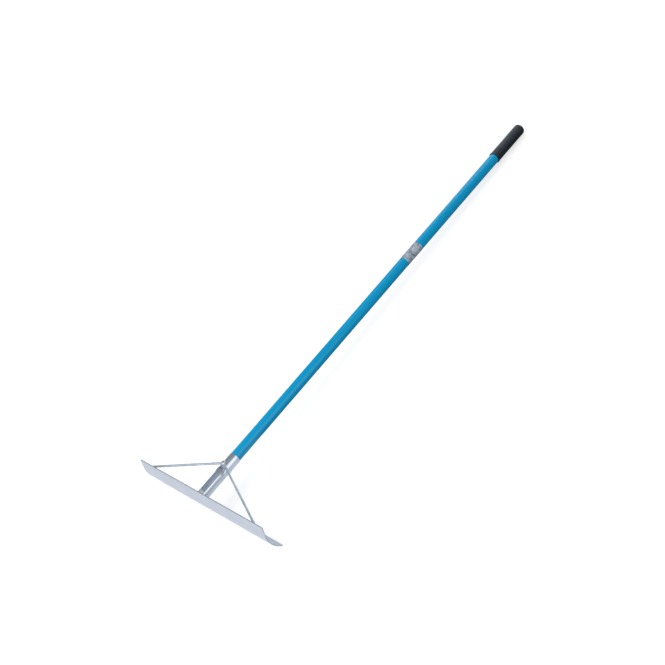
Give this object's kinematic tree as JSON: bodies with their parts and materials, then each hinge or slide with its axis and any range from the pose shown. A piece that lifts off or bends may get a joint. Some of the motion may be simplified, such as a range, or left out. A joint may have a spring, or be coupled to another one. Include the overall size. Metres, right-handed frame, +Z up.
{
  "type": "concrete rake",
  "caption": "Concrete rake with a wide steel blade curved back towards the user, a braced and welded socket, a long blue tube handle and a black sleeve grip.",
  "frame": {"origin": "on the floor, under the middle of the rake's length and of the blade's length", "axes": "+Y along the floor from the blade to the grip, +X along the blade, +Z up; the handle's axis falls 2.7 degrees from the blade to the grip"},
  "size_m": [0.497, 1.5658, 0.1122],
  "materials": {
    "plated_steel": "satin plating, even lavender grey",
    "socket_steel": "bright plating with soft streaks along the tube",
    "brace_steel": "satin plated round rod",
    "weld_metal": "rippled weld bead under plating",
    "bolt_steel": "bright plated fastener",
    "blue_coated_tube": "smooth blue powder coat, half gloss",
    "plug_plastic": "moulded mid grey plastic",
    "band_foil": "mottled silver foil, bare",
    "grip_rubber": "matte black with a fine grain"
  },
  "bodies": {
    "root": {"blade": "plated_steel", "socket": "socket_steel", "socket_weld_left": "weld_metal", "socket_weld_right": "weld_metal", "brace_left": "brace_steel", "brace_right": "brace_steel", "brace_weld_left_upper": "weld_metal", "brace_weld_left_lower": "weld_metal", "brace_weld_right_upper": "weld_metal", "brace_weld_right_lower": "weld_metal", "brace_bolt": "bolt_steel", "brace_bolt_washer": "bolt_steel", "brace_bolt_nut": "bolt_steel", "handle_tube": "blue_coated_tube", "handle_plug": "plug_plastic", "label_band": "band_foil", "grip": "grip_rubber"}
  },
  "joints": []
}
